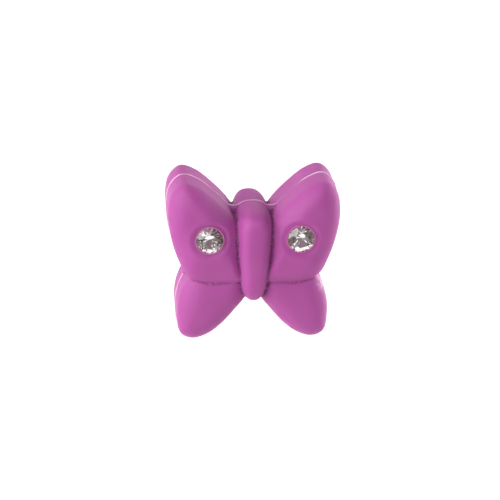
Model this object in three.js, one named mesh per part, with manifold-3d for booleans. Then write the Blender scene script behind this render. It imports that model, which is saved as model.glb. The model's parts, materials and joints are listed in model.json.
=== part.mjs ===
// A butterfly motif bead: one soft silicone moulding, threaded crosswise on a cord, with a
// brilliant-cut crystal glued into a pocket in the front of each upper wing.
// Millimetres, +Z up, +X to the right, the front faces -Y. The bead stands on its two lower
// wing tips, and the origin is midway between them. The mould parts at y = 0, and the back
// half mirrors the front half, without the crystals.
import * as THREE from "three";
import { ConvexGeometry } from "three/addons/geometries/ConvexGeometry.js";
import { mergeVertices } from "three/addons/utils/BufferGeometryUtils.js";
import Module from "manifold-3d";

const wasm = await Module();
wasm.setup();

// Right-hand wing outlines on the parting plane, as [x, z], anticlockwise from the outermost
// point. The inner points lie inside the torso, and the left wings mirror them.
const UPPER_WING_OUTLINE = [
  [12.5, 19.8], [11.95, 22.7], [10.3, 24.2], [8.2, 23.6], [5.7, 21.65], [3.3, 19.1],
  [2.1, 16.9], [1.9, 13.0], [1.6, 9.0], [4.0, 8.6], [7.3, 8.8], [9.7, 10.1],
  [11.0, 12.6], [12.05, 16.0],
];
const LOWER_WING_OUTLINE = [
  [11.1, 3.5], [10.9, 6.2], [10.1, 8.4], [8.8, 10.0], [5.2, 10.4], [1.5, 9.9],
  [1.1, 8.1], [1.1, 6.6], [2.6, 4.5], [4.8, 2.0], [6.9, 0.5], [9.0, 0.0], [10.6, 0.8],
];

// A wing is a pillow: a straight wall from the parting plane, a broad round shoulder that is
// reach wide and rise high, and a face that domes a little more towards its middle.
const UPPER_WING = { centre: [6.6, 16.3], wall: 4.0, rise: 2.1, reach: 3.4, dome: 0.5 };
const LOWER_WING = { centre: [6.6, 6.1], wall: 3.6, rise: 1.8, reach: 3.0, dome: 0.4 };

// The torso is a round-nosed bar, widest at the thorax and narrow at the tail, proud of the
// wings and deeper at the head than at the tail.
const TORSO_TOP = 20.05;
const TORSO_THORAX = 16.7;
const TORSO_TAIL = 6.1;
const TORSO_HALF_WIDTH = 2.75;
const HEAD_HALF_DEPTH = 7.6;
const TAIL_HALF_DEPTH = 6.7;
const HEAD_POWER = 2.5; // superellipse powers: 2 is a round end, more is squarer
const TAIL_POWER = 2.6;
const SIDE_VIEW_POWER = 6;
const SECTION_POWER = 3.2;

// A wedge-shaped web fills the valley between the head and each wing: its section as [y, z].
const WEB_SECTION = [[-0.4, 19.3], [-1.7, 18.5], [-1.7, 17.5], [1.7, 17.5], [1.7, 18.5], [0.4, 19.3]];
const WEB_INNER = 1.2;
const WEB_LENGTH = 2.7;

// The cord hole runs along X at the notches between the upper and lower wings, and opens at
// each side in a small flat land, where the next bead or a knot bears.
const CORD_HOLE_DIAMETER = 2;
const CORD_HOLE_HEIGHT = 10.2;
const LAND_DIAMETER = 2.9;
const LAND_HALF_SPACING = 9.4;

// The crystals, each in a pocket at the top of an upper wing's dome.
const CRYSTAL_DIAMETER = 3.9;
const GIRDLE_FRONT = 6.5; // from the parting plane to the front edge of the girdle
const CROWN_ANGLE = THREE.MathUtils.degToRad(34);
const PAVILION_ANGLE = THREE.MathUtils.degToRad(41);
const TABLE_SHARE = 0.57; // table width over crystal diameter
const GIRDLE_THICKNESS = 0.12;
const CULET_RADIUS = 0.06;
const STAR_REACH = 0.5; // how far the star facets reach from the table to the girdle
const LOWER_REACH = 0.78; // how far the lower girdle facets reach from the girdle to the culet
const GLUE_THICKNESS = 0.14;
const FIT_GAP = 0.04; // air left between the crystal, its glue and the pocket

// How finely the round surfaces are divided.
const AROUND_WING = 44;
const SHOULDER_STEPS = 6;
const FACE_STEPS = 3;
const AROUND_TORSO = 28;
const TORSO_RINGS = 22;
const AROUND_HOLE = 32;

const CLEARANCE = 4; // how far cutting tools run past the bead

// A closed mesh as a manifold-3d solid, and back.
function toSolid(geometry) {
  const bare = geometry.clone();
  bare.deleteAttribute("normal");
  bare.deleteAttribute("uv");
  const merged = mergeVertices(bare, 1e-4);
  const vertProperties = new Float32Array(merged.attributes.position.array);
  const triVerts = new Uint32Array(merged.index.array);
  return new wasm.Manifold(new wasm.Mesh({ numProp: 3, vertProperties, triVerts }));
}

function toGeometry(solid) {
  const { vertProperties, triVerts } = solid.getMesh();
  const geometry = new THREE.BufferGeometry();
  geometry.setAttribute("position", new THREE.BufferAttribute(vertProperties, 3));
  geometry.setIndex(new THREE.BufferAttribute(triVerts, 1));
  geometry.computeVertexNormals();
  return geometry;
}

// The pillow's section, from its rim on the parting plane to the middle of its face: inset is
// how far a point lies in from the rim, and face is the share of the face crossed so far.
function pillowSection({ wall, rise, reach }) {
  const steps = [{ inset: 0, face: 0, y: 0 }];
  for (let i = 0; i <= SHOULDER_STEPS; i++) {
    const turn = ((i / SHOULDER_STEPS) * Math.PI) / 2;
    steps.push({ inset: reach * (1 - Math.cos(turn)), face: 0, y: wall + rise * Math.sin(turn) });
  }
  for (let i = 1; i <= FACE_STEPS; i++) {
    steps.push({ inset: reach, face: i / FACE_STEPS, y: wall + rise });
  }
  return steps;
}

// A two-sided pillow over a closed outline: a sphere whose meridians are led along the
// section, and whose equator is led along the outline.
function pillow(outline, { centre, dome, ...section }) {
  const knots = outline.map(([x, z]) => new THREE.Vector3(x, 0, z));
  const rim = new THREE.CatmullRomCurve3(knots, true, "centripetal");
  const middle = new THREE.Vector3(centre[0], 0, centre[1]);
  const steps = pillowSection(section);
  const last = steps.length - 1;
  const geometry = new THREE.SphereGeometry(1, AROUND_WING, 2 * last);
  const position = geometry.attributes.position;
  const point = new THREE.Vector3();
  for (let i = 0; i < position.count; i++) {
    point.fromBufferAttribute(position, i);
    const latitude = Math.asin(THREE.MathUtils.clamp(point.y, -1, 1));
    const { inset, face, y } = steps[Math.round((Math.abs(latitude) / (Math.PI / 2)) * last)];
    const turn = Math.atan2(point.z, point.x) / (2 * Math.PI);
    const edge = rim.getPoint((Math.round(turn * AROUND_WING) / AROUND_WING + 1) % 1);
    const share = (1 - inset / edge.distanceTo(middle)) * (1 - face);
    point.copy(middle).lerp(edge, share);
    const height = y === 0 ? 0 : y + dome * (1 - share ** 2);
    position.setXYZ(i, point.x, Math.sign(latitude) * height, point.z);
  }
  return geometry;
}

// A superellipse arc: its height at a share of the way from the middle to the end.
function bulge(share, power) {
  return Math.max(1 - Math.abs(share) ** power, 0) ** (1 / power);
}

// A cosine or sine bent so that the pair of them runs round a superellipse.
function squared(value) {
  return Math.sign(value) * Math.abs(value) ** (2 / SECTION_POWER);
}

// The torso: a sphere whose level rings become superellipses. The front view is blunt at the
// head and pointed at the tail, the side view is square-shouldered.
function torso() {
  const middle = (TORSO_TOP + TORSO_TAIL) / 2;
  const halfHeight = (TORSO_TOP - TORSO_TAIL) / 2;
  const geometry = new THREE.SphereGeometry(1, AROUND_TORSO, TORSO_RINGS).rotateX(Math.PI / 2);
  const position = geometry.attributes.position;
  for (let i = 0; i < position.count; i++) {
    const level = THREE.MathUtils.clamp(position.getZ(i), -1, 1);
    const turn = Math.atan2(position.getY(i), position.getX(i));
    const height = middle + halfHeight * level;
    const fromThorax = height - TORSO_THORAX;
    const width = TORSO_HALF_WIDTH * (fromThorax > 0
      ? bulge(fromThorax / (TORSO_TOP - TORSO_THORAX), HEAD_POWER)
      : bulge(fromThorax / (TORSO_THORAX - TORSO_TAIL), TAIL_POWER));
    const fullDepth = THREE.MathUtils.lerp(TAIL_HALF_DEPTH, HEAD_HALF_DEPTH, (level + 1) / 2);
    const depth = fullDepth * bulge(level, SIDE_VIEW_POWER);
    const x = width * squared(Math.cos(turn));
    const y = depth * squared(Math.sin(turn));
    position.setXYZ(i, x, y, height);
  }
  return geometry;
}

// The right-hand web, a prism along X.
function web() {
  const section = new THREE.Shape(WEB_SECTION.map(([y, z]) => new THREE.Vector2(y, z)));
  return new THREE.ExtrudeGeometry(section, { depth: WEB_LENGTH, bevelEnabled: false })
    .rotateX(Math.PI / 2)
    .rotateZ(Math.PI / 2)
    .translate(WEB_INNER, 0, 0);
}

// Turns a piece made with its axis along +Z to face forward, and sets its foot on the
// crystal's place: local z = 0 comes to the front edge of the girdle.
function atCrystal(geometry, side) {
  return geometry
    .rotateX(Math.PI / 2)
    .translate(side * UPPER_WING.centre[0], -GIRDLE_FRONT, UPPER_WING.centre[1]);
}

// A turned piece with its axis along +Z, from a profile of [radius, z].
function lathe(profile) {
  const points = profile.map(([radius, z]) => new THREE.Vector2(radius, z));
  return new THREE.LatheGeometry(points, AROUND_HOLE).rotateX(Math.PI / 2);
}

const CRYSTAL_RADIUS = CRYSTAL_DIAMETER / 2;
const POCKET_RADIUS = CRYSTAL_RADIUS + GLUE_THICKNESS + 2 * FIT_GAP;
const PAVILION_DEPTH = (CRYSTAL_RADIUS - CULET_RADIUS) * Math.tan(PAVILION_ANGLE);
const CUP_FLOOR = -GIRDLE_THICKNESS - PAVILION_DEPTH;

// A cup-shaped solid that follows the crystal's pavilion at a distance: its mouth is at z = 0.
function pavilionCup(offset) {
  const foot = CULET_RADIUS + offset / Math.cos(PAVILION_ANGLE);
  return [
    [CRYSTAL_RADIUS + offset, -GIRDLE_THICKNESS],
    [foot, CUP_FLOOR - offset],
    [0, CUP_FLOOR - offset],
  ];
}

function pocket() {
  const depth = POCKET_RADIUS - CRYSTAL_RADIUS;
  return lathe([
    ...pavilionCup(depth).reverse(),
    [POCKET_RADIUS, CLEARANCE],
    [0, CLEARANCE],
  ]);
}

// The glue fills the space between pavilion and pocket, up to the girdle's front edge.
function glue() {
  const inner = pavilionCup(FIT_GAP);
  const outer = pavilionCup(FIT_GAP + GLUE_THICKNESS).reverse();
  return lathe([
    ...outer,
    [CRYSTAL_RADIUS + FIT_GAP + GLUE_THICKNESS, 0],
    [CRYSTAL_RADIUS + FIT_GAP, 0],
    ...inner,
  ]);
}

// A round brilliant: eight-sided table, star, kite and upper girdle facets, a thin girdle,
// and lower girdle and pavilion facets down to a small culet. The corners lie on the
// planes of the kite facets, which slope at the crown angle, and of the pavilion mains.
function brilliant() {
  const eighth = Math.PI / 4;
  const half = eighth / 2;
  const tableRadius = CRYSTAL_RADIUS * TABLE_SHARE;
  const crownHeight = (CRYSTAL_RADIUS - tableRadius) * Math.tan(CROWN_ANGLE);
  const tableEdge = tableRadius * Math.cos(half);
  const starRadius = THREE.MathUtils.lerp(tableEdge, CRYSTAL_RADIUS, STAR_REACH);
  const starDrop = (starRadius * Math.cos(half) - tableRadius) * Math.tan(CROWN_ANGLE);
  const lowerRadius = CRYSTAL_RADIUS * (1 - LOWER_REACH);
  const lowerDrop = (CRYSTAL_RADIUS - lowerRadius * Math.cos(half)) * Math.tan(PAVILION_ANGLE);
  const corners = [];
  const ring = (radius, z, count, start) => {
    for (let i = 0; i < count; i++) {
      const turn = start + (i * 2 * Math.PI) / count;
      corners.push(new THREE.Vector3(radius * Math.cos(turn), radius * Math.sin(turn), z));
    }
  };
  ring(tableRadius, crownHeight, 8, 0);
  ring(starRadius, crownHeight - starDrop, 8, half);
  ring(CRYSTAL_RADIUS, 0, 16, 0);
  ring(CRYSTAL_RADIUS, -GIRDLE_THICKNESS, 16, 0);
  ring(lowerRadius, -GIRDLE_THICKNESS - lowerDrop, 8, half);
  ring(CULET_RADIUS, CUP_FLOOR, 8, 0);
  return new ConvexGeometry(corners);
}

// A round bar along the cord hole's axis.
function barAlongX(diameter, length, middleX) {
  return new THREE.CylinderGeometry(diameter / 2, diameter / 2, length, AROUND_HOLE)
    .rotateZ(-Math.PI / 2)
    .translate(middleX, 0, CORD_HOLE_HEIGHT);
}

// A left-hand lobe is the right-hand one turned half round, because its two faces are alike.
function leftOf(geometry) {
  return geometry.clone().rotateZ(Math.PI);
}

// The moulding: torso, webs and four wings in one, less the cord hole, its lands and the
// pockets.
function butterflyBody() {
  let body = toSolid(torso());
  for (const lobe of [
    pillow(LOWER_WING_OUTLINE, LOWER_WING),
    pillow(UPPER_WING_OUTLINE, UPPER_WING),
    web(),
  ]) {
    body = body.add(toSolid(lobe)).add(toSolid(leftOf(lobe)));
  }
  const reach = UPPER_WING_OUTLINE[0][0] + CLEARANCE;
  const landCut = reach - LAND_HALF_SPACING;
  body = body.subtract(toSolid(barAlongX(CORD_HOLE_DIAMETER, 2 * reach, 0)));
  for (const side of [-1, 1]) {
    body = body.subtract(toSolid(atCrystal(pocket(), side)));
    const cutMiddle = side * (LAND_HALF_SPACING + landCut / 2);
    body = body.subtract(toSolid(barAlongX(LAND_DIAMETER, landCut, cutMiddle)));
  }
  return toGeometry(body);
}

const silicone = new THREE.MeshStandardMaterial({ color: 0xb45ca6, roughness: 0.55, metalness: 0 });
const crystal = new THREE.MeshStandardMaterial({ color: 0xf0eeea, roughness: 0.05, metalness: 0 });
const adhesive = new THREE.MeshStandardMaterial({ color: 0xe8d9e2, roughness: 0.3, metalness: 0 });

function named(name, geometry, material) {
  const mesh = new THREE.Mesh(geometry, material);
  mesh.name = name;
  return mesh;
}

const bead = new THREE.Group();
bead.add(named("butterfly_body", butterflyBody(), silicone));
for (const [hand, side] of [["left", -1], ["right", 1]]) {
  bead.add(named(`${hand}_crystal`, atCrystal(brilliant(), side), crystal));
  bead.add(named(`${hand}_crystal_adhesive`, atCrystal(glue(), side), adhesive));
}

export default bead;
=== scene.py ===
# %% [markdown]
# # A butterfly bead in soft silicone, with two set crystals
# The real object is one thick silicone moulding, 25 mm across, that is threaded on a cord. A
# clear brilliant-cut crystal is glued into a pocket in the front of each upper wing. The
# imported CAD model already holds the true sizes, so it is loaded first, as a frame that
# nothing here moves. Everything made below is fitted to it.

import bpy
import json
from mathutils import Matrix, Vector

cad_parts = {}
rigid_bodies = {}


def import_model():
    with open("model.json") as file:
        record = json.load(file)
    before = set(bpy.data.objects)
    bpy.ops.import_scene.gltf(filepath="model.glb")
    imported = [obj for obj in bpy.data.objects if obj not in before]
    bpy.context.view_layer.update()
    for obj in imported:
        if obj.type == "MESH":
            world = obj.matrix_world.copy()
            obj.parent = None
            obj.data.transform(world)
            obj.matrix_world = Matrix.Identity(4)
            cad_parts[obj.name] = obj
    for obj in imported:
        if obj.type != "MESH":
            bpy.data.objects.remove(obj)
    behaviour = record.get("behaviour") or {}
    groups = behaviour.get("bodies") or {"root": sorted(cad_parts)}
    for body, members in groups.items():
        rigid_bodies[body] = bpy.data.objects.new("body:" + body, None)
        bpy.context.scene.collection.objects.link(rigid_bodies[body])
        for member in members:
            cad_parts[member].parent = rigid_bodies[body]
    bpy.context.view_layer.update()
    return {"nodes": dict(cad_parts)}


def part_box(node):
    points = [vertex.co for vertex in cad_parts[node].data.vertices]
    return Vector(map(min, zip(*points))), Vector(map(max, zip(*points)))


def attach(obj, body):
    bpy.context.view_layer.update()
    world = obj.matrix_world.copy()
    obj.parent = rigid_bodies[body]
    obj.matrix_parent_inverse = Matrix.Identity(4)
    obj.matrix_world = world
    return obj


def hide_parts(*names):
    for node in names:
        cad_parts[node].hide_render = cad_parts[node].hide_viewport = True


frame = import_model()
print("CAD nodes:", sorted(frame["nodes"]))

# %% [markdown]
# The bead is small, and its drawing is in millimetres. It is modelled on a "bench" in
# millimetres and brought to metres at the end, because remeshing and smoothing are easier to
# think about in those numbers. The scale comes from the frame: the wing span in the drawing
# against the width of the CAD body.

# %% Set the scale from the frame
import json
import math

import bmesh
import bpy
import numpy as np
from mathutils import Matrix, Vector, geometry, noise

WING_SPAN = 25.0
body_low, body_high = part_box("butterfly_body")
mm = (body_high.x - body_low.x) / WING_SPAN
print(f"one drawing millimetre is {mm:.6f} m")

# %% [markdown]
# A wing is drawn as a few points round its outline at the parting plane, and a smooth closed
# curve is led through them. A Bezier segment from each point to the next does that. Handles
# that allow for the spacing of the points keep the curve from swinging out between them.

# %% Draw a closed curve through a few points
CURVE_STEPS = 10


def handle(before, here, after):
    """The curve's direction at a point, for a step to the next point."""
    back = (here - before).length ** 0.5
    on = (after - here).length ** 0.5
    speed = (here - before) / back - (after - before) / (back + on) + (after - here) / on
    return speed * on


def closed_curve(outline):
    knots = [Vector((x, 0, z)) for x, z in outline]
    count = len(knots)
    points = []
    for i in range(count):
        a, b, c, d = (knots[(i + j - 1) % count] for j in range(4))
        start = b + handle(a, b, c) / 3
        end = c + handle(d, c, b) / 3
        points += geometry.interpolate_bezier(b, start, end, c, CURVE_STEPS + 1)[:-1]
    return points


print("each stretch of an outline becomes", CURVE_STEPS, "short edges")

# %% [markdown]
# Each wing is a pillow: a straight wall rises from the parting plane, then a broad shoulder
# rolls over into a domed face. A UV sphere already has the right build for this, a ring of
# meridians and two poles. It is turned so that its poles face front and back. Then each
# meridian is led to its place on the outline, and each ring to its height on the section.

# %% Shape a sphere into a wing
WING_RINGS = 60
WALL_END = 0.12  # as a share of the way from the parting plane to the middle of the face
SHOULDER_END = 0.6


def between(value, low, high):
    """How far value has come on the way from low to high, kept within 0 and 1."""
    return max(0, min(1, (value - low) / (high - low)))


def wing(outline, centre, wall, rise, reach, dome):
    rim = closed_curve(outline)
    middle = Vector((centre[0], 0, centre[1]))
    bm = bmesh.new()
    bmesh.ops.create_uvsphere(bm, u_segments=len(rim), v_segments=WING_RINGS, radius=1)
    bmesh.ops.rotate(bm, verts=bm.verts, matrix=Matrix.Rotation(math.radians(90), 3, "X"))
    for v in bm.verts:
        latitude = math.asin(max(-1, min(1, v.co.y))) / (math.pi / 2)
        up_wall = between(abs(latitude), 0, WALL_END)
        turn = between(abs(latitude), WALL_END, SHOULDER_END) * math.pi / 2
        over_face = between(abs(latitude), SHOULDER_END, 1)
        around = math.atan2(v.co.z, v.co.x) / (2 * math.pi) * len(rim)
        edge = rim[round(around) % len(rim)]
        inset = reach * (1 - math.cos(turn))
        share = (1 - inset / (edge - middle).length) * (1 - over_face)
        height = wall * up_wall + rise * math.sin(turn) + dome * (1 - share * share)
        v.co = middle.lerp(edge, share) + Vector((0, math.copysign(height, latitude), 0))
    return bm


print("the wall ends at", WALL_END, "and the shoulder at", SHOULDER_END, "of the way")

# %% [markdown]
# The upper wing is the larger and the thicker one. The two overlap, and meet in a groove that
# runs out from the torso. Both reach into the torso, so that no gap opens beside it. Only the
# right-hand wings are drawn, because a half turn of them gives the left-hand ones.

# %% Make the right-hand wings
UPPER_WING = [
    (12.5, 19.8), (11.95, 22.7), (10.3, 24.2), (8.2, 23.6), (5.7, 21.65), (3.3, 19.1),
    (2.1, 16.9), (1.9, 13.0), (1.6, 9.0), (4.0, 8.6), (7.3, 8.8), (9.7, 10.1),
    (11.0, 12.6), (12.05, 16.0),
]
LOWER_WING = [
    (11.1, 3.5), (10.9, 6.2), (10.1, 8.4), (8.8, 10.0), (5.2, 10.4), (1.5, 9.9),
    (1.1, 8.1), (1.1, 6.6), (2.6, 4.5), (4.8, 2.0), (6.9, 0.5), (9.0, 0.0), (10.6, 0.8),
]
upper_wing = wing(UPPER_WING, centre=(6.6, 16.3), wall=4.0, rise=2.1, reach=3.4, dome=0.5)
lower_wing = wing(LOWER_WING, centre=(6.6, 6.1), wall=3.6, rise=1.8, reach=3.0, dome=0.4)
print("upper wing:", len(upper_wing.verts), "points, lower:", len(lower_wing.verts), "points")

# %% [markdown]
# The torso is a round-nosed bar between the wings: widest at the thorax, blunt at the head,
# drawn out towards the tail, and deeper at the head than at the tail. The same sphere trick
# works, standing up this time: each level ring becomes a squared-off oval. A power of 2 makes
# a plain ellipse, and a higher one is squarer.

# %% Shape a sphere into the torso
TORSO_MERIDIANS = 96
TORSO_RINGS = 120
TORSO_TOP = 20.05
TORSO_THORAX = 16.7
TORSO_TAIL = 6.1
TORSO_HALF_WIDTH = 2.75
HEAD_HALF_DEPTH = 7.6
TAIL_HALF_DEPTH = 6.7
HEAD_POWER = 2.5
TAIL_POWER = 2.6
SIDE_VIEW_POWER = 6
SECTION_POWER = 3.2


def bulge(share, power):
    return max(1 - abs(share) ** power, 0) ** (1 / power)


def squared(value):
    return math.copysign(abs(value) ** (2 / SECTION_POWER), value)


def torso():
    bm = bmesh.new()
    bmesh.ops.create_uvsphere(
        bm, u_segments=TORSO_MERIDIANS, v_segments=TORSO_RINGS, radius=1
    )
    for v in bm.verts:
        up = (max(-1, min(1, v.co.z)) + 1) / 2
        z = TORSO_TAIL + (TORSO_TOP - TORSO_TAIL) * up
        if z > TORSO_THORAX:
            width = bulge((z - TORSO_THORAX) / (TORSO_TOP - TORSO_THORAX), HEAD_POWER)
        else:
            width = bulge((TORSO_THORAX - z) / (TORSO_THORAX - TORSO_TAIL), TAIL_POWER)
        deepest = TAIL_HALF_DEPTH + (HEAD_HALF_DEPTH - TAIL_HALF_DEPTH) * up
        depth = deepest * bulge(2 * up - 1, SIDE_VIEW_POWER)
        turn = math.atan2(v.co.y, v.co.x)
        x = TORSO_HALF_WIDTH * width * squared(math.cos(turn))
        v.co = (x, depth * squared(math.sin(turn)), z)
    return bm


lobes = torso()
print("torso:", len(lobes.verts), "points, from", TORSO_TAIL, "to", TORSO_TOP, "mm up")

# %% [markdown]
# Where the head meets a wing, a wedge-shaped web of silicone fills the valley, thin at the
# parting plane and thicker below. It is a prism: one section polygon, extruded sideways. Its
# ends and its foot are buried in the torso and the wing.

# %% Make a web for the head valleys
WEB_SECTION = [
    (-0.4, 19.3), (-1.7, 18.5), (-1.7, 17.5), (1.7, 17.5), (1.7, 18.5), (0.4, 19.3),
]
WEB_INNER = 1.2
WEB_LENGTH = 2.7


def web():
    bm = bmesh.new()
    corners = [bm.verts.new((WEB_INNER, y, z)) for y, z in WEB_SECTION]
    face = bm.faces.new(corners)
    prism = bmesh.ops.extrude_face_region(bm, geom=[face])
    far = [v for v in prism["geom"] if isinstance(v, bmesh.types.BMVert)]
    bmesh.ops.translate(bm, verts=far, vec=(WEB_LENGTH, 0, 0))
    bmesh.ops.recalc_face_normals(bm, faces=bm.faces)
    return bm


head_web = web()
print("web:", len(head_web.faces), "faces")

# %% [markdown]
# All the lobes now go into one mesh, still as separate shells that pass through each other.
# The right-hand wings and web go in twice, the second time turned half round the upright
# axis. A half turn keeps every face pointing outwards, where a mirror image would turn the
# shells inside out. The front and the back of a wing are alike, so the result is the same.

# %% Put the lobes of the moulding together
def add_copy(target, source, half_turn=False):
    """Adds source's mesh to target, turned half round the Z axis if asked."""
    turned = source.copy()
    if half_turn:
        matrix = Matrix.Rotation(math.pi, 3, "Z")
        bmesh.ops.rotate(turned, verts=turned.verts, matrix=matrix)
    step = bpy.data.meshes.new("step")
    turned.to_mesh(step)
    target.from_mesh(step)
    bpy.data.meshes.remove(step)
    turned.free()


for lobe in (upper_wing, lower_wing, head_web):
    add_copy(lobes, lobe)
    add_copy(lobes, lobe, half_turn=True)
    lobe.free()
print("lobes:", len(lobes.verts), "points in overlapping shells")

# %% [markdown]
# A real moulding is one skin with small soft fillets in its grooves. Booleans would leave
# hard creases, so the lobes are remeshed with voxels, which melts them into one skin of even
# quads, and a few rounds of smoothing draw the fillets.

# %% Melt the lobes into one skin
VOXEL = 0.175
SMOOTH_ROUNDS = 3


def with_modifiers(bm, *settings):
    """The mesh of bm after the given modifiers, each a (type, {setting: value}) pair."""
    bench = bpy.data.objects.new("bench", bpy.data.meshes.new("bench"))
    bpy.context.scene.collection.objects.link(bench)
    bm.to_mesh(bench.data)
    for kind, values in settings:
        modifier = bench.modifiers.new(kind, kind)
        for name, value in values.items():
            setattr(modifier, name, value)
    graph = bpy.context.evaluated_depsgraph_get()
    bm.clear()
    bm.from_object(bench, graph)
    bpy.data.meshes.remove(bench.data)
    return bm


skin = with_modifiers(lobes, ("REMESH", {"mode": "VOXEL", "voxel_size": VOXEL}))
for _ in range(SMOOTH_ROUNDS):
    bmesh.ops.smooth_vert(
        skin, verts=skin.verts, factor=0.5, use_axis_x=True, use_axis_y=True, use_axis_z=True
    )
print("skin:", len(skin.verts), "points")

# %% [markdown]
# The two halves of the mould meet at y = 0 and leave a fine raised witness line all round.
# Its height wanders a little, and it is nearly worn away where it was trimmed by hand. One
# function says how much of the line is left at any place, first for the shape of the ridge
# and later for its painted highlight. Smooth noise gives the wandering, and it is the same on
# every run.

# %% Say how strong the witness line is
LINE_SHARE = 0.8
LINE_WANDER = 0.35
WANDER_SCALE = 0.6
NOISE_SLICE = 3.7
TRIMMED = [((5.4, 21.3), 3.0), ((11.0, 5.5), 2.4)]  # the middle of each place, and its reach
TRIM_SHARE = 0.95


def line_strength(x, z):
    """How much of the witness line is left at a place on the outline; 0 is none."""
    sample = Vector((x * WANDER_SCALE, NOISE_SLICE, z * WANDER_SCALE))
    strength = LINE_SHARE + LINE_WANDER * noise.noise(sample)
    for place, reach in TRIMMED:
        far = (Vector((x, z)) - Vector(place)).length / reach
        strength *= 1 - TRIM_SHARE * math.exp(-far * far)
    return max(strength, 0)


print("witness line left at the trimmed places:",
      [round(line_strength(*place), 2) for place, _ in TRIMMED])

# %% [markdown]
# The back of the bead mirrors the front. So the skin is cut just in front of the line, the
# cut edge is extruded up the ridge in small steps, and the half is mirrored, which closes
# the skin along the top of the ridge.

# %% Raise the witness line, and mirror the half
LINE_HALF_WIDTH = 0.2
LINE_HEIGHT = 0.15
LINE_STEPS = [(0.75, 0.12), (0.5, 0.55), (0.28, 0.9), (0.0, 1.0)]  # shares of width and height
CUT_TOLERANCE = 0.01
WELD = 0.002

bmesh.ops.bisect_plane(
    skin, geom=skin.verts[:] + skin.edges[:] + skin.faces[:], dist=CUT_TOLERANCE,
    plane_co=(0, -LINE_HALF_WIDTH, 0), plane_no=(0, 1, 0), clear_outer=True,
)
skin.normal_update()
edge_loop = [e for e in skin.edges if e.is_boundary]
foot = {v: v for e in edge_loop for v in e.verts}
outward = {v: Vector((v.normal.x, 0, v.normal.z)).normalized() for v in foot}
start = {v: v.co.copy() for v in foot}
for near, rise in LINE_STEPS:
    grown = bmesh.ops.extrude_edge_only(skin, edges=edge_loop)["geom"]
    edge_loop = [g for g in grown if isinstance(g, bmesh.types.BMEdge) and g.is_boundary]
    tips = {v for e in edge_loop for v in e.verts}
    risen = {}
    for v in tips:
        below = next(e.other_vert(v) for e in v.link_edges if e.other_vert(v) not in tips)
        risen[v] = foot[below]
        at = start[foot[below]]
        lift = LINE_HEIGHT * rise * line_strength(at.x, at.z)
        v.co = at + outward[foot[below]] * lift
        v.co.y = -LINE_HALF_WIDTH * near
    foot = risen
bmesh.ops.mirror(
    skin, geom=skin.verts[:] + skin.edges[:] + skin.faces[:],
    matrix=Matrix.Identity(4), merge_dist=WELD, axis="Y",
)
bmesh.ops.remove_doubles(skin, verts=skin.verts, dist=WELD)
bmesh.ops.recalc_face_normals(skin, faces=skin.faces)
open_edges = sum(e.is_boundary for e in skin.edges)
print("mirrored:", len(skin.verts), "points,", open_edges, "open edges")

# %% [markdown]
# Round each crystal the silicone dips into a shallow dish with a soft lip. That is a small
# change to an even mesh, so it is done as a sculptor's brush would: each point near the
# crystal moves in or out by a smooth function of its distance from the crystal's middle.

# %% Press a dish round each crystal
crystal_low, crystal_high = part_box("right_crystal")
CRYSTAL_RADIUS = (crystal_high.x - crystal_low.x) / 2 / mm
crystal_x = (crystal_low.x + crystal_high.x) / 2 / mm
crystal_z = (crystal_low.z + crystal_high.z) / 2 / mm
FRONT_FACE = -4
DISH_DEPTH = 0.26
DISH_REACH = 2.7
DISH_POWER = 6
LIP_HEIGHT = 0.12
LIP_WIDTH = 0.4
LIP_BEYOND = 0.2
for v in skin.verts:
    if v.co.y < FRONT_FACE:
        far = math.hypot(abs(v.co.x) - crystal_x, v.co.z - crystal_z)
        dish = DISH_DEPTH * math.exp(-((far / DISH_REACH) ** DISH_POWER))
        lip = LIP_HEIGHT * math.exp(-(((far - DISH_REACH - LIP_BEYOND) / LIP_WIDTH) ** 2))
        v.co.y += dish - lip
print("dish edge at", round(DISH_REACH, 2), "mm from each crystal's middle")

# %% [markdown]
# The right-hand notch was trimmed roughly: the upper wall of the lower wing is frayed there,
# and pale. A little is frayed at the left foot too. The brush moves those points in and out
# by a fine noise, and notes how frayed each point is for the finish.

# %% Fray the trimmed places
FRAYED = [((10.3, -2.4, 8.5), 1.5, 0.85), ((-10.9, -2.4, 1.2), 1.0, 0.35)]  # middle, reach, most
FRAY_STRETCH = 0.6
FRAY_DEPTH = 0.16
FRAY_GRAIN = 2.6
LEAST_FRAY = 0.01


def frayed(place):
    """How frayed the silicone is at a place, from 0 to 1."""
    share = 0
    for middle, reach, most in FRAYED:
        far = (place - Vector(middle)) / reach
        far.y *= FRAY_STRETCH
        share = max(share, most * math.exp(-(far.length ** 4)))
    return share


skin.normal_update()
frayed_layer = skin.verts.layers.float.new("frayed")
for v in skin.verts:
    share = frayed(v.co)
    v[frayed_layer] = share
    if share > LEAST_FRAY:
        v.co += v.normal * (FRAY_DEPTH * share * noise.noise(v.co * FRAY_GRAIN))
print("frayed points:", sum(v[frayed_layer] > 0.1 for v in skin.verts))

# %% [markdown]
# Lint settles in the grooves of soft silicone, and the grooves also get painted shade, a
# darker colour where shadow would fall. The finish needs to know where the grooves are, so
# each point gets a number for it: how far its neighbours rise above it along its normal,
# spread out over nearby points. A second number marks the witness line, from its foot to its
# top, for the line's painted highlight.

# %% Mark the grooves and the witness line
GROOVE_SPREAD = 14
GROOVE_GAIN = 30
LINE_EDGE = 1.6


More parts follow.
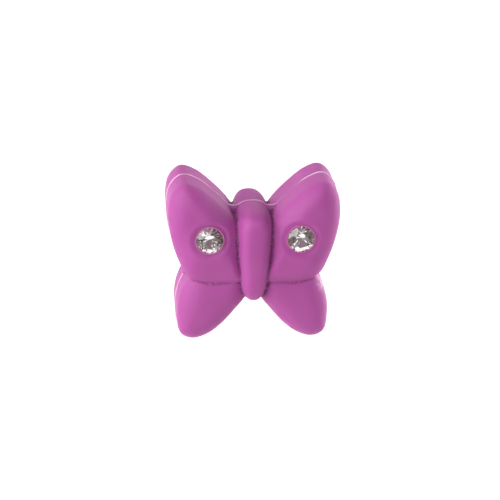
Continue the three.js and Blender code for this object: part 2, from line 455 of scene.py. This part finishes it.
def groove_marks(bm):
    bm.verts.index_update()
    places = np.array([v.co for v in bm.verts])
    normals = np.array([v.normal for v in bm.verts])
    ends = np.array([[v.index for v in e.verts] for e in bm.edges])
    both = np.concatenate([ends, ends[:, ::-1]])
    count = np.bincount(both[:, 0], minlength=len(places))
    rise = ((places[both[:, 1]] - places[both[:, 0]]) * normals[both[:, 0]]).sum(axis=1)
    spread = np.bincount(both[:, 0], weights=rise, minlength=len(places)) / count
    for _ in range(GROOVE_SPREAD):
        around = np.bincount(both[:, 0], weights=spread[both[:, 1]], minlength=len(places))
        spread = (spread + around / count) / 2
    return np.clip(spread * GROOVE_GAIN, 0, 1)


skin.normal_update()
marks = groove_marks(skin)
groove_layer = skin.verts.layers.float.new("groove")
line_layer = skin.verts.layers.float.new("witness_line")
for v, mark in zip(skin.verts, marks):
    v[groove_layer] = mark
    near = max(1 - abs(v.co.y) / LINE_HALF_WIDTH, 0)
    v[line_layer] = min(near * LINE_EDGE, 1) * line_strength(v.co.x, v.co.z)
print(f"groove marks from {marks.min():.2f} to {marks.max():.2f}")

# %% [markdown]
# A crystal sits in a cup of glue, and the glue in a pocket of the silicone. All three follow
# the stone's long lower cone, the pavilion, so one function gives the corners of a cup at any
# distance from it. A turned shape is made as on a lathe: a profile, spun round its axis.

# %% Turn the pockets' cutters
FIT_GAP = 0.04
GIRDLE_THICKNESS = 0.12
PAVILION_ANGLE = math.radians(41)
CULET_RADIUS = 0.06
PAVILION_DEPTH = (CRYSTAL_RADIUS - CULET_RADIUS) * math.tan(PAVILION_ANGLE)
AROUND = 96
SPIN_WELD = 0.001
glue_low, glue_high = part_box("right_crystal_adhesive")
GLUE_RADIUS = (glue_high.x - glue_low.x) / 2 / mm
girdle_y = glue_low.y / mm


def spin_round(bm, points, centre, axis):
    """Joins the points in a row and spins that profile round an axis."""
    edges = [bm.edges.new(pair) for pair in zip(points, points[1:])]
    bmesh.ops.spin(
        bm, geom=points + edges, cent=centre, axis=axis,
        angle=2 * math.pi, steps=AROUND, use_merge=True,
    )
    bmesh.ops.remove_doubles(bm, verts=bm.verts, dist=SPIN_WELD)
    bmesh.ops.recalc_face_normals(bm, faces=bm.faces)


def spun(profile, axis_x, axis_z):
    """A turned shape: a profile of (radius, depth behind the girdle's front edge)."""
    bm = bmesh.new()
    points = [bm.verts.new((axis_x + r, girdle_y + depth, axis_z)) for r, depth in profile]
    spin_round(bm, points, centre=(axis_x, 0, axis_z), axis=(0, 1, 0))
    return bm


def cup_floor(offset):
    """The corners of a cup that follows the pavilion at a distance, from its wall inwards."""
    foot_radius = CULET_RADIUS + offset / math.cos(PAVILION_ANGLE)
    floor = GIRDLE_THICKNESS + PAVILION_DEPTH + offset
    return [
        (CRYSTAL_RADIUS + offset, GIRDLE_THICKNESS), (foot_radius, floor), (0, floor),
    ]


POCKET_OFFSET = GLUE_RADIUS + FIT_GAP - CRYSTAL_RADIUS
POCKET_MOUTH = -3
cutters = bmesh.new()
for side in (-1, 1):
    mouth = [(0, POCKET_MOUTH), (CRYSTAL_RADIUS + POCKET_OFFSET, POCKET_MOUTH)]
    pocket = spun(mouth + cup_floor(POCKET_OFFSET), side * crystal_x, crystal_z)
    add_copy(cutters, pocket)
    pocket.free()
print("pocket cutters:", len(cutters.faces), "faces")

# %% [markdown]
# The cord runs through a hole from notch to notch, and each end of the hole opens in a small
# flat land, where the next bead or a knot bears. The cutter is a bar with a wider bar beyond
# each land, turned in the same way as the pockets but round a level axis.

# %% Turn the cord hole's cutter
CORD_HOLE_RADIUS = 1.0
CORD_HOLE_HEIGHT = 10.2
LAND_RADIUS = 1.45
LAND_X = 9.4
OUTSIDE = 15.0
half_bar = [
    (0, -OUTSIDE), (LAND_RADIUS, -OUTSIDE), (LAND_RADIUS, -LAND_X), (CORD_HOLE_RADIUS, -LAND_X),
]
stepped = half_bar + [(radius, -x) for radius, x in reversed(half_bar)]
bar = bmesh.new()
points = [bar.verts.new((x, 0, CORD_HOLE_HEIGHT + radius)) for radius, x in stepped]
spin_round(bar, points, centre=(0, 0, CORD_HOLE_HEIGHT), axis=(1, 0, 0))
add_copy(cutters, bar)
bar.free()
print("all cutters:", len(cutters.faces), "faces")

# %% [markdown]
# The pockets and the cord hole have crisp rims, so they are cut last, after all the
# smoothing. One boolean takes all the cutters away at once. The manifold solver is the
# quickest, and it can be used because the skin and the cutters are closed.

# %% Cut the pockets and the cord hole
cutter_object = bpy.data.objects.new("cutters", bpy.data.meshes.new("cutters"))
bpy.context.scene.collection.objects.link(cutter_object)
cutters.to_mesh(cutter_object.data)
cutters.free()
with_modifiers(
    skin,
    ("BOOLEAN", {"operation": "DIFFERENCE", "solver": "MANIFOLD", "object": cutter_object}),
)
bpy.data.meshes.remove(cutter_object.data)
open_edges = sum(e.is_boundary for e in skin.edges)
print("cut body:", len(skin.verts), "points,", open_edges, "open edges")

# %% [markdown]
# A finished piece has its object at the origin and its place in its mesh, in metres. Its
# smooth faces are shaded smooth, and edges sharper than an angle stay crisp.

# %% Turn a bench mesh into a piece of the bead
SOFT_EDGE_ANGLE = 40


def finished(bm, name, material, sharp_angle=SOFT_EDGE_ANGLE):
    bmesh.ops.scale(bm, verts=bm.verts, vec=(mm, mm, mm))
    mesh = bpy.data.meshes.new(name)
    bm.to_mesh(mesh)
    bm.free()
    mesh.materials.append(material)
    mesh.shade_smooth()
    mesh.set_sharp_from_angle(angle=math.radians(sharp_angle))
    piece = bpy.data.objects.new(name, mesh)
    bpy.context.scene.collection.objects.link(piece)
    print(name, "has", sum(len(p.vertices) - 2 for p in mesh.polygons), "triangles")
    return piece


print("edges sharper than", SOFT_EDGE_ANGLE, "degrees stay crisp")

# %% [markdown]
# Materials are built from nodes. A few small helpers keep that readable. The first starts a
# material with the numbers of its main shader, and the second adds a node with its settings
# and inputs. The others add the three nodes that come back most often: a mix of two colours,
# a value mapped to a new range, and a product.

# %% Helpers for materials
def new_material(name, shader_inputs):
    material = bpy.data.materials.new(name)
    material.use_nodes = True
    shader = material.node_tree.nodes["Principled BSDF"]
    for socket, value in shader_inputs.items():
        shader.inputs[socket].default_value = value
    print("material:", name)
    return material


def add_node(tree, kind, inputs=None, **settings):
    node = tree.nodes.new(kind)
    for name, value in settings.items():
        setattr(node, name, value)
    for name, value in (inputs or {}).items():
        if isinstance(value, bpy.types.NodeSocket):
            tree.links.new(value, node.inputs[name])
        else:
            node.inputs[name].default_value = value
    return node


def blended(tree, factor, first, second):
    """The colour output of a mix from first to second by factor."""
    mix = add_node(tree, "ShaderNodeMix", {"Factor": factor}, data_type="RGBA")
    for socket, colour in (("A", first), ("B", second)):
        if isinstance(colour, bpy.types.NodeSocket):
            tree.links.new(colour, mix.inputs[socket])
        else:
            mix.inputs[socket].default_value = colour
    return mix.outputs["Result"]


def ramped(tree, value, start, end, bottom=0.0, top=1.0):
    """A value mapped from start..end to bottom..top."""
    ramp = add_node(
        tree, "ShaderNodeMapRange",
        {"Value": value, "From Min": start, "From Max": end, "To Min": bottom, "To Max": top},
    )
    return ramp.outputs["Result"]


def product(tree, first, second):
    node = add_node(tree, "ShaderNodeMath", {0: first, 1: second}, operation="MULTIPLY")
    return node.outputs[0]


# %% [markdown]
# The silicone's pink drifts slightly. The grooves get painted shade, a deeper colour where
# shadow would fall, and a few specks of lint lie in them. The witness line gets a painted
# highlight, a paler colour where its thin ridge catches the light, and the silicone is also
# paler where it is frayed. Each of those is one colour mixed over the last, by the number that
# the mesh carries for it. All the patterns read Object coordinates, in metres, so their scales
# are large numbers.

# %% Mix the silicone's colour
SILICONE_PINK = (0.47, 0.098, 0.385, 1)
SILICONE_DEEP = (0.41, 0.079, 0.332, 1)
# pale colour for the witness line's painted highlight and for the frayed places' wear
SILICONE_PALE_WEAR_AND_HIGHLIGHT = (0.84, 0.58, 0.76, 1)
# painted shade: the darker colour put into the grooves where shadow would fall
SILICONE_PAINTED_GROOVE_SHADE = (0.20, 0.026, 0.15, 1)
LINT = (0.72, 0.42, 0.62, 1)


def mesh_mark(tree, name):
    """A number that the mesh carries at each point."""
    return add_node(tree, "ShaderNodeAttribute", attribute_name=name).outputs["Fac"]


def fine_noise(tree, where, scale, detail):
    inputs = {"Vector": where, "Scale": scale, "Detail": detail}
    return add_node(tree, "ShaderNodeTexNoise", inputs).outputs["Fac"]


def silicone_colour(tree, where):
    drift = fine_noise(tree, where, scale=180, detail=2)
    colour = blended(tree, drift, SILICONE_DEEP, SILICONE_PINK)
    groove = mesh_mark(tree, "groove")
    # painted shade: the grooves are mixed towards the darker colour where shadow would fall
    colour = blended(tree, ramped(tree, groove, 0.04, 0.28), colour, SILICONE_PAINTED_GROOVE_SHADE)
    specks = ramped(tree, fine_noise(tree, where, scale=4200, detail=1), 0.60, 0.70)
    lint = product(tree, specks, ramped(tree, groove, 0.04, 0.2, top=0.5))
    colour = blended(tree, lint, colour, LINT)
    # painted highlight: the witness line is mixed paler where its thin ridge catches the light
    line = ramped(tree, mesh_mark(tree, "witness_line"), 0, 0.9)
    colour = blended(tree, line, colour, SILICONE_PALE_WEAR_AND_HIGHLIGHT)
    mottle = ramped(tree, fine_noise(tree, where, scale=1500, detail=3), 0.38, 0.55, top=0.9)
    pale = product(tree, mesh_mark(tree, "frayed"), mottle)
    return blended(tree, pale, colour, SILICONE_PALE_WEAR_AND_HIGHLIGHT)


print("silicone pink:", SILICONE_PINK[:3])

# %% [markdown]
# Matt pigmented silicone lets light a little way in, which softens its shadows, and its fine
# satin skin turns slightly pale where it is seen edge-on. So the shader gets subsurface light
# with a reach of under a millimetre, a rough surface, a faint sheen, and a very fine grain.

# %% Make the silicone body
def silicone_material():
    material = new_material("matt orchid silicone", {
        "Roughness": 0.55,
        "IOR": 1.42,
        "Subsurface Weight": 1.0,
        "Subsurface Radius": (1.0, 0.3, 0.7),
        "Subsurface Scale": 0.0007,
        "Sheen Weight": 0.1,
        "Sheen Roughness": 0.35,
        "Sheen Tint": (1.0, 0.86, 0.96, 1),
    })
    tree = material.node_tree
    shader = tree.nodes["Principled BSDF"]
    where = add_node(tree, "ShaderNodeTexCoord").outputs["Object"]
    tree.links.new(silicone_colour(tree, where), shader.inputs["Base Color"])
    grain = fine_noise(tree, where, scale=9000, detail=3)
    bump = add_node(
        tree, "ShaderNodeBump", {"Height": grain, "Strength": 0.35, "Distance": 0.00003}
    )
    tree.links.new(bump.outputs["Normal"], shader.inputs["Normal"])
    return material


body = finished(skin, "silicone_butterfly", silicone_material())
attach(body, "root")
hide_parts("butterfly_body")

# %% [markdown]
# A brilliant is a stack of rings joined by flat facets: table, stars, kites, a thin girdle,
# then the long pavilion facets down to a tiny culet. Its corners all lie on the outside of a
# convex shape, so the rings are placed as circles and their hull makes every facet. Hull
# triangles that lie in one plane are then dissolved into one facet. The corners of the two
# lowest rings are a little uneven, as on a small, quickly cut stone. That breaks up the
# facets' reflections and makes the two stones differ.

# %% Cut a brilliant
TABLE_SHARE = 0.57
CROWN_ANGLE = math.radians(34)
STAR_REACH = 0.5
LOWER_REACH = 0.78
UNEVEN = 0.1
UNEVEN_GRAIN = 9
ONE_PLANE = math.radians(0.5)


def brilliant(side, turn):
    half = math.pi / 8
    table = CRYSTAL_RADIUS * TABLE_SHARE
    crown = (CRYSTAL_RADIUS - table) * math.tan(CROWN_ANGLE)
    table_flat = table * math.cos(half)
    star = table_flat + (CRYSTAL_RADIUS - table_flat) * STAR_REACH
    star_drop = (star * math.cos(half) - table) * math.tan(CROWN_ANGLE)
    lower = CRYSTAL_RADIUS * (1 - LOWER_REACH)
    lower_drop = (CRYSTAL_RADIUS - lower * math.cos(half)) * math.tan(PAVILION_ANGLE)
    rings = [
        (table, crown, 8, 0), (star, crown - star_drop, 8, half),
        (CRYSTAL_RADIUS, 0, 16, 0), (CRYSTAL_RADIUS, -GIRDLE_THICKNESS, 16, 0),
        (lower, -GIRDLE_THICKNESS - lower_drop, 8, half),
        (CULET_RADIUS, -GIRDLE_THICKNESS - PAVILION_DEPTH, 8, 0),
    ]
    bm = bmesh.new()
    for radius, height, count, start_turn in rings:
        ring = bmesh.ops.create_circle(bm, segments=count, radius=radius)["verts"]
        matrix = Matrix.Rotation(start_turn + turn, 3, "Z")
        bmesh.ops.rotate(bm, verts=ring, matrix=matrix)
        bmesh.ops.translate(bm, verts=ring, vec=(0, 0, height))
        if radius <= lower:
            for v in ring:
                v.co.z += UNEVEN * noise.noise(v.co * UNEVEN_GRAIN)
    hull = bmesh.ops.convex_hull(bm, input=bm.verts)
    bmesh.ops.delete(bm, geom=hull["geom_interior"], context="VERTS")
    bmesh.ops.dissolve_limit(bm, angle_limit=ONE_PLANE, verts=bm.verts, edges=bm.edges)
    bmesh.ops.recalc_face_normals(bm, faces=bm.faces)
    bmesh.ops.rotate(bm, verts=bm.verts, matrix=Matrix.Rotation(math.pi / 2, 3, "X"))
    bmesh.ops.translate(bm, verts=bm.verts, vec=(side * crystal_x, girdle_y, crystal_z))
    return bm


print(f"crystal: {2 * CRYSTAL_RADIUS:.2f} mm across, pavilion {PAVILION_DEPTH:.2f} mm deep")

# %% [markdown]
# The crystal is clear and bends light strongly, so it gets full transmission and a high index
# of refraction. The glue is clear too, but so thin that the pink pocket shows through it. It
# gets that pink itself, and is only partly clear, which keeps the crystal's edge from turning
# black.

# %% Crystal and glue
crystal_finish = new_material("clear cut crystal", {
    "Base Color": (1.0, 0.90, 0.92, 1),
    "Roughness": 0.0,
    "IOR": 1.87,
    "Transmission Weight": 1.0,
})
glue_finish = new_material("clear glue", {
    "Base Color": (0.85, 0.28, 0.62, 1),
    "Roughness": 0.25,
    "IOR": 1.45,
    "Transmission Weight": 0.3,
})

# %% [markdown]
# Each stone is turned a little in its pocket, each by its own angle, as they are set by hand.
# The glue is a thin turned cup with a low rounded rim, which shows as a fine ring round the
# stone. Between stone and cup there is a gap just wide enough that even the lowest of the
# uneven corners stays clear of the glue.

# %% Set the crystals
STONE_GAP = 0.055
FACET_EDGE_ANGLE = 1
TURNS = {"left": math.radians(9), "right": math.radians(-4)}
RIM = [(GLUE_RADIUS, 0.04), (GLUE_RADIUS - 0.03, 0), (GLUE_RADIUS - 0.1, 0.02)]
RIM_INNER_DEPTH = 0.03
outer = cup_floor(GLUE_RADIUS - CRYSTAL_RADIUS)
inner = cup_floor(STONE_GAP)
cup_profile = outer[::-1] + RIM + [(CRYSTAL_RADIUS + STONE_GAP, RIM_INNER_DEPTH)] + inner
for hand, side in (("left", -1), ("right", 1)):
    stone = brilliant(side, TURNS[hand])
    piece = finished(stone, f"{hand}_cut_crystal", crystal_finish, FACET_EDGE_ANGLE)
    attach(piece, "root")
    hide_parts(f"{hand}_crystal")
    glue = spun(cup_profile, side * crystal_x, crystal_z)
    cup = finished(glue, f"{hand}_glue_cup", glue_finish)
    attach(cup, "root")
    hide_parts(f"{hand}_crystal_adhesive")

# %% [markdown]
# The bead is lit by a pale room as well as by lights. The room is dim in front and above, and
# bright behind and below, where a white table would throw light back. It is uneven too, with
# white windows between duller, warmer walls. Matt silicone averages that out, but the facets
# of the crystals pick out its patches, which makes them sparkle.

# %% Paint the room
WALL_COLOUR = (1.0, 0.62, 0.54, 1)
WINDOW_COLOUR = (1, 1, 1, 1)

world = bpy.data.worlds.new("white room")
bpy.context.scene.world = world
world.use_nodes = True
room = world.node_tree
direction = add_node(room, "ShaderNodeTexCoord").outputs["Generated"]
along = add_node(room, "ShaderNodeSeparateXYZ", {"Vector": direction})
below = ramped(room, along.outputs["Z"], 1.0, -1.0, bottom=-0.7, top=1.0)
behind = ramped(room, along.outputs["Y"], -1.0, 0.8, bottom=0.1, top=0.82)
strength = add_node(
    room, "ShaderNodeMath", {0: below, 1: behind, 2: behind}, operation="MULTIPLY_ADD"
)
windows = ramped(room, fine_noise(room, direction, scale=9, detail=1), 0.47, 0.53)
uneven = ramped(room, windows, 0, 1, bottom=0.5, top=1.7)
total = product(room, strength.outputs[0], uneven)
colour = blended(room, windows, WALL_COLOUR, WINDOW_COLOUR)
room.links.new(colour, room.nodes["Background"].inputs["Color"])
room.links.new(total, room.nodes["Background"].inputs["Strength"])
print("room:", len(room.nodes), "nodes")

# %% [markdown]
# The bead stands on a white sheet. The sheet glows by itself, which hides the bead's shadow
# on it. It is there for the camera, and it shows through the clear crystals, but it throws no
# light on the silicone and isn't mirrored by it. It casts no shadow either, so the light from
# below the bead gets past it.

# %% Lay the sheet
SHEET_RADIUS = 3

sheet = bmesh.new()
bmesh.ops.create_circle(sheet, cap_ends=True, segments=64, radius=SHEET_RADIUS)
floor = bpy.data.objects.new("floor", bpy.data.meshes.new("floor"))
sheet.to_mesh(floor.data)
sheet.free()
bpy.context.scene.collection.objects.link(floor)
floor.data.materials.append(new_material("white sheet", {
    "Base Color": (0.3, 0.3, 0.3, 1),
    "Roughness": 1.0,
    "Emission Color": (1, 1, 1, 1),
    "Emission Strength": 0.95,
}))
floor.visible_diffuse = False
floor.visible_glossy = False
floor.visible_shadow = False
print("floor:", 2 * SHEET_RADIUS, "m across")

# %% [markdown]
# Four soft lights shape the bead. The key comes in low from the left, so the left shoulders
# of the wings and the torso are brightest. A rim light from the right and slightly behind
# gives the right-hand edges a pale line. Weak lights from high and from low in front fill the
# rest. They stay out of the crystals' refractions, where square lamps would show as hard
# white blocks.

# %% Lights
BEAD_MIDDLE = Vector((0, 0, 0.012))
LIGHT_DISTANCE = 0.55


def soft_light(name, azimuth, elevation, power, size=0.45):
    """A square soft light, at angles in degrees from the front and from the level."""
    turn, rise = math.radians(azimuth), math.radians(elevation)
    outwards = Vector((
        math.sin(turn) * math.cos(rise), -math.cos(turn) * math.cos(rise), math.sin(rise),
    ))
    data = bpy.data.lights.new(name, "AREA")
    data.size = size
    data.energy = power
    light = bpy.data.objects.new(name, data)
    bpy.context.scene.collection.objects.link(light)
    light.location = BEAD_MIDDLE + outwards * LIGHT_DISTANCE
    light.rotation_euler = (-outwards).to_track_quat("-Z", "Y").to_euler()
    light.visible_camera = False
    light.visible_transmission = False
    print(f"{name} light: {power} W from {azimuth}, {elevation} degrees")


soft_light("key", azimuth=-58, elevation=22, power=4.0, size=0.6)
soft_light("rim", azimuth=108, elevation=4, power=2.8)
soft_light("top", azimuth=-15, elevation=45, power=0.8)
soft_light("fill", azimuth=15, elevation=-35, power=0.65)

# %% [markdown]
# The camera looks down on the bead a little, slightly from its left, and is tipped by a
# degree. It stands well back, so that the bead shows little perspective, and its lens is
# chosen so that the view is about three times as wide as the bead.

# %% Camera
AZIMUTH = math.radians(-5.8)
ELEVATION = math.radians(21.8)
ROLL = math.radians(1.1)
DISTANCE = 0.3
VIEW_WIDTH = 0.0737
SENSOR_WIDTH = 36
aim = Vector((-0.13, 0, 12.2)) * mm
back = Vector((
    math.sin(AZIMUTH) * math.cos(ELEVATION),
    -math.cos(AZIMUTH) * math.cos(ELEVATION),
    math.sin(ELEVATION),
))
camera_data = bpy.data.cameras.new("camera")
camera_data.sensor_width = SENSOR_WIDTH
camera_data.lens = SENSOR_WIDTH * DISTANCE / VIEW_WIDTH
camera_data.clip_start = 0.01
camera = bpy.data.objects.new("camera", camera_data)
bpy.context.scene.collection.objects.link(camera)
camera.location = aim + back * DISTANCE
facing = (-back).to_track_quat("-Z", "Y")
camera.rotation_euler = (facing.to_matrix() @ Matrix.Rotation(ROLL, 3, "Z")).to_euler()
bpy.context.scene.camera = camera
bpy.context.scene.view_settings.view_transform = "Standard"
print(f"camera: {camera_data.lens:.0f} mm lens, {DISTANCE} m from the bead")
